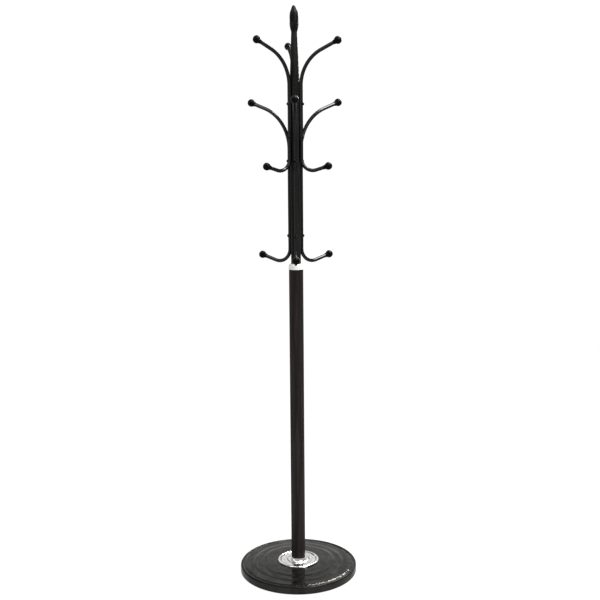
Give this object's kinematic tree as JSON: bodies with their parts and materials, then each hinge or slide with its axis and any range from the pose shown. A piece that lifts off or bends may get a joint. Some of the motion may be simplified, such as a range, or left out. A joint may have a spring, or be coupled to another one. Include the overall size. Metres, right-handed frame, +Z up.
{
  "type": "standing coat rack",
  "caption": "Standing coat rack: a black pole on a heavy round base, with bent double-ended hook bars with ball tips on an upper stage that turns, and a bud finial",
  "frame": {"origin": "on the floor, on the axis of the pole", "axes": "+Z up along the pole, -Y towards the viewer of the picture, +X to the right"},
  "size_m": [0.369, 0.369, 1.75],
  "materials": {
    "base_stone": "polished black",
    "feet_rubber": "matte",
    "bare_steel": "zinc plated",
    "bright_chrome": "mirror",
    "pole_paint": "satin black paint",
    "bar_paint": "satin black paint",
    "bearing_nylon": "natural",
    "gloss_black": "gloss"
  },
  "bodies": {
    "stand": {"base_disc": "base_stone", "base_feet": "feet_rubber", "base_washer": "bare_steel", "base_bolt": "bare_steel", "base_flange": "bright_chrome", "foot_plug": "bare_steel", "lower_tube": "pole_paint", "swivel_collar": "bright_chrome", "guide_bush": "bearing_nylon", "bearing_cup": "bearing_nylon", "thrust_washer": "bearing_nylon"},
    "hook_head": {"pivot_plug": "bearing_nylon", "upper_tube": "pole_paint", "finial": "gloss_black", "upper_bar_screws": "bar_paint", "lower_bar_screws": "bar_paint", "upper_bar_1": "bar_paint", "upper_bar_2": "bar_paint", "upper_bar_3": "bar_paint", "lower_bar_1": "bar_paint", "lower_bar_2": "bar_paint", "lower_bar_3": "bar_paint", "upper_bar_1_top_ball": "gloss_black", "upper_bar_1_bottom_ball": "gloss_black", "upper_bar_2_top_ball": "gloss_black", "upper_bar_2_bottom_ball": "gloss_black", "upper_bar_3_top_ball": "gloss_black", "upper_bar_3_bottom_ball": "gloss_black", "lower_bar_1_top_ball": "gloss_black", "lower_bar_1_bottom_ball": "gloss_black", "lower_bar_2_top_ball": "gloss_black", "lower_bar_2_bottom_ball": "gloss_black", "lower_bar_3_top_ball": "gloss_black", "lower_bar_3_bottom_ball": "gloss_black"}
  },
  "joints": [
    {"name": "top_swivel", "type": "hinge", "parent": "stand", "child": "hook_head", "pos_m": [0, 0, 0.834], "axis": [0, 0, 1], "continuous": true}
  ]
}
